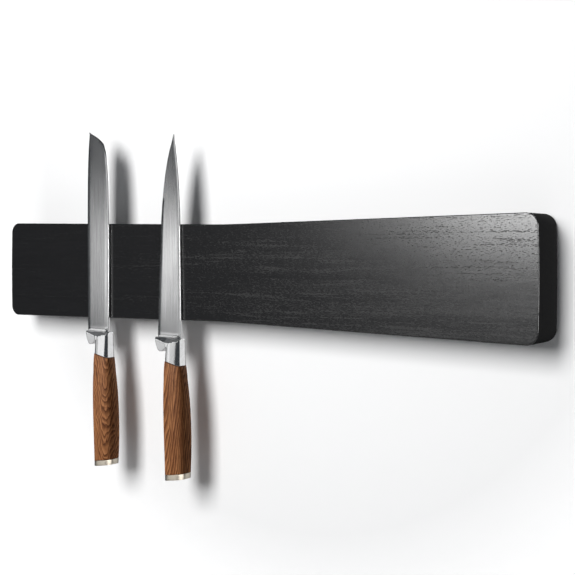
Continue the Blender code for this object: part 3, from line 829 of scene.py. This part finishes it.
def softbox(name, location, target, size, radiance):
    """An area light that the camera doesn't see, as bright to look into whatever its size."""
    data = bpy.data.lights.new(name, "AREA")
    data.shape = "RECTANGLE"
    data.size, data.size_y = size
    data.energy = radiance * pi * size[0] * size[1]
    obj = bpy.data.objects.new(name, data)
    obj.location = location
    aim = Vector(target) - Vector(location)
    obj.rotation_euler = aim.to_track_quat("-Z", "Y").to_euler()
    obj.visible_camera = False
    bpy.context.scene.collection.objects.link(obj)
    return obj


def make_lights(floor, rack, blades, bolsters, handles, caps):
    """A near key for all but the blades, bolsters and handles, then softboxes that each give one
    finish its reflection.

    A softbox has its name, its place, the point it faces, its size and its radiance."""
    key = softbox("key", (0.0, -1.0, 0.36), (-0.03, 0, 0), (0.42, 0.6), 16.2)
    link_light(key, blades + bolsters + handles, "EXCLUDE")
    own = (
        (handles, "handle_key", (-0.60, -0.86, 0.28), AT_HANDLES, (0.7, 0.5), 11.5),
        (handles, "handle_fill", (0.35, -0.85, 0.0), AT_HANDLES, (0.5, 0.5), 0.9),
        (rack, "rack_front", (-0.23, -1.15, 0.185), (-0.23, 0, 0.185), (0.38, 0.26), 20),
        (rack, "rack_front_left", (-0.50, -1.15, 0.20), (-0.50, 0, 0.20), (0.26, 0.26), 4.4),
        (rack, "rack_right", (1.39, -0.345, 0.1), (0.2, 0, 0), (0.5, 0.6), 25),
        (blades, "blade_strip", (-0.994, -0.861, -0.01), AT_BLADES, (0.45, 0.20), 1.37),
        (blades, "blade_spines", (0.67, -0.67, 0.05), AT_BLADES, (0.7, 0.9), 1.7),
        (blades, "blade_halo", (-1.10, -0.84, -0.05), AT_BLADES, (0.7, 0.45), 0.15),
        (blades, "blade_heels", (-1.13, -0.51, 0.52), (-0.12, -0.04, -0.05), (0.30, 0.30), 1.9),
        (blades, "blade_front", (-0.40, -1.2, 0.1), AT_BLADES, (0.6, 0.9), 0.8),
        (bolsters, "bolster_edges", (-0.94, -0.71, 0.36), AT_BOLSTERS, (0.5, 0.3), 2.0),
        (bolsters, "bolster_side", (-0.95, -0.86, -0.12), AT_BOLSTERS, (0.26, 0.36), 1.05),
        (blades + bolsters + caps, "spine_sides", (0.55, 0.62, 0.0), AT_BLADES, (0.6, 0.9), 0.85),
        (bolsters, "guard_side", (-1.17, -0.61, -0.16), AT_BOLSTERS, (0.30, 0.34), 0.7),
        (bolsters, "scoop_top", (-0.98, -0.27, 0.75), AT_BOLSTERS, (0.5, 0.5), 0.12),
        (caps, "cap_side", (-0.80, -1.0, -0.30), AT_CAPS, (0.9, 0.5), 0.95),
        (caps, "cap_front", (0.80, -0.85, -0.2), AT_CAPS, (1.7, 1.2), 1.7),
    )
    for pieces, *settings in own:
        link_light(softbox(*settings), pieces)
    softbox("rear_fill", (0.2, 1.4, 0.6), (0, 0, 0), (1.0, 1.0), 5)
    link_light(softbox("floor_fill", (0, -0.5, 1.5), (0, -0.5, 0), (2, 2), 0.2), [floor])


def make_camera():
    data = bpy.data.cameras.new("camera")
    data.sensor_width = 36
    data.lens = CAMERA_LENS
    data.shift_y = CAMERA_SHIFT
    camera = bpy.data.objects.new("camera", data)
    camera.location = CAMERA_PLACE
    camera.rotation_euler = (pi / 2, 0, CAMERA_TURN)
    bpy.context.scene.collection.objects.link(camera)
    bpy.context.scene.camera = camera


def write_sizes():
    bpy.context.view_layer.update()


# --- The scene -----------------------------------------------------------------------------

rack_body = make_rack_body()
blade_steel, bolster_steel, cap_steel = brushed_steel(), polished_steel(), satin_cap()
handle_woods = {
    "bread_knife": handle_wood(
        "bread_handle_wood", heart=(-0.1100, -0.037), lean=-0.25, wander=8, drift=0.18
    ),
    "carving_knife": handle_wood(
        "carving_handle_wood", heart=(-0.085, -0.075), lean=-0.11, wander=5, drift=0.11
    ),
}
blades, bolsters, handles, caps = [], [], [], []
for kind, wood in handle_woods.items():
    origin = knife_origin(kind)
    blades.append(make_blade(kind, origin, blade_steel))
    bolsters.append(make_bolster(kind, origin, bolster_steel))
    handles.append(make_handle(kind, origin, wood))
    caps.append(make_cap(kind, origin, cap_steel))

nickel = cloudy_metal("nickel_plate", (0.46, 0.44, 0.40), (0.60, 0.58, 0.54), 0.30, clouds=400)
steel = cloudy_metal("yoke_steel", (0.16, 0.16, 0.17), (0.28, 0.28, 0.29), 0.45, clouds=250)
zinc = cloudy_metal("zinc_plate", (0.48, 0.49, 0.52), (0.62, 0.63, 0.65), 0.32, clouds=600)
paint(["back_board"], back_board_ply())
paint(["magnet"], nickel)
paint(["yoke"], steel)
paint(["hanger", "wall_screw"], zinc)
paint(["plug"], plug_plastic())

floor = make_stage()
make_world()
make_lights(floor, [rack_body], blades, bolsters, handles, caps)
make_camera()
bpy.context.scene.view_settings.view_transform = "Standard"
write_sizes()
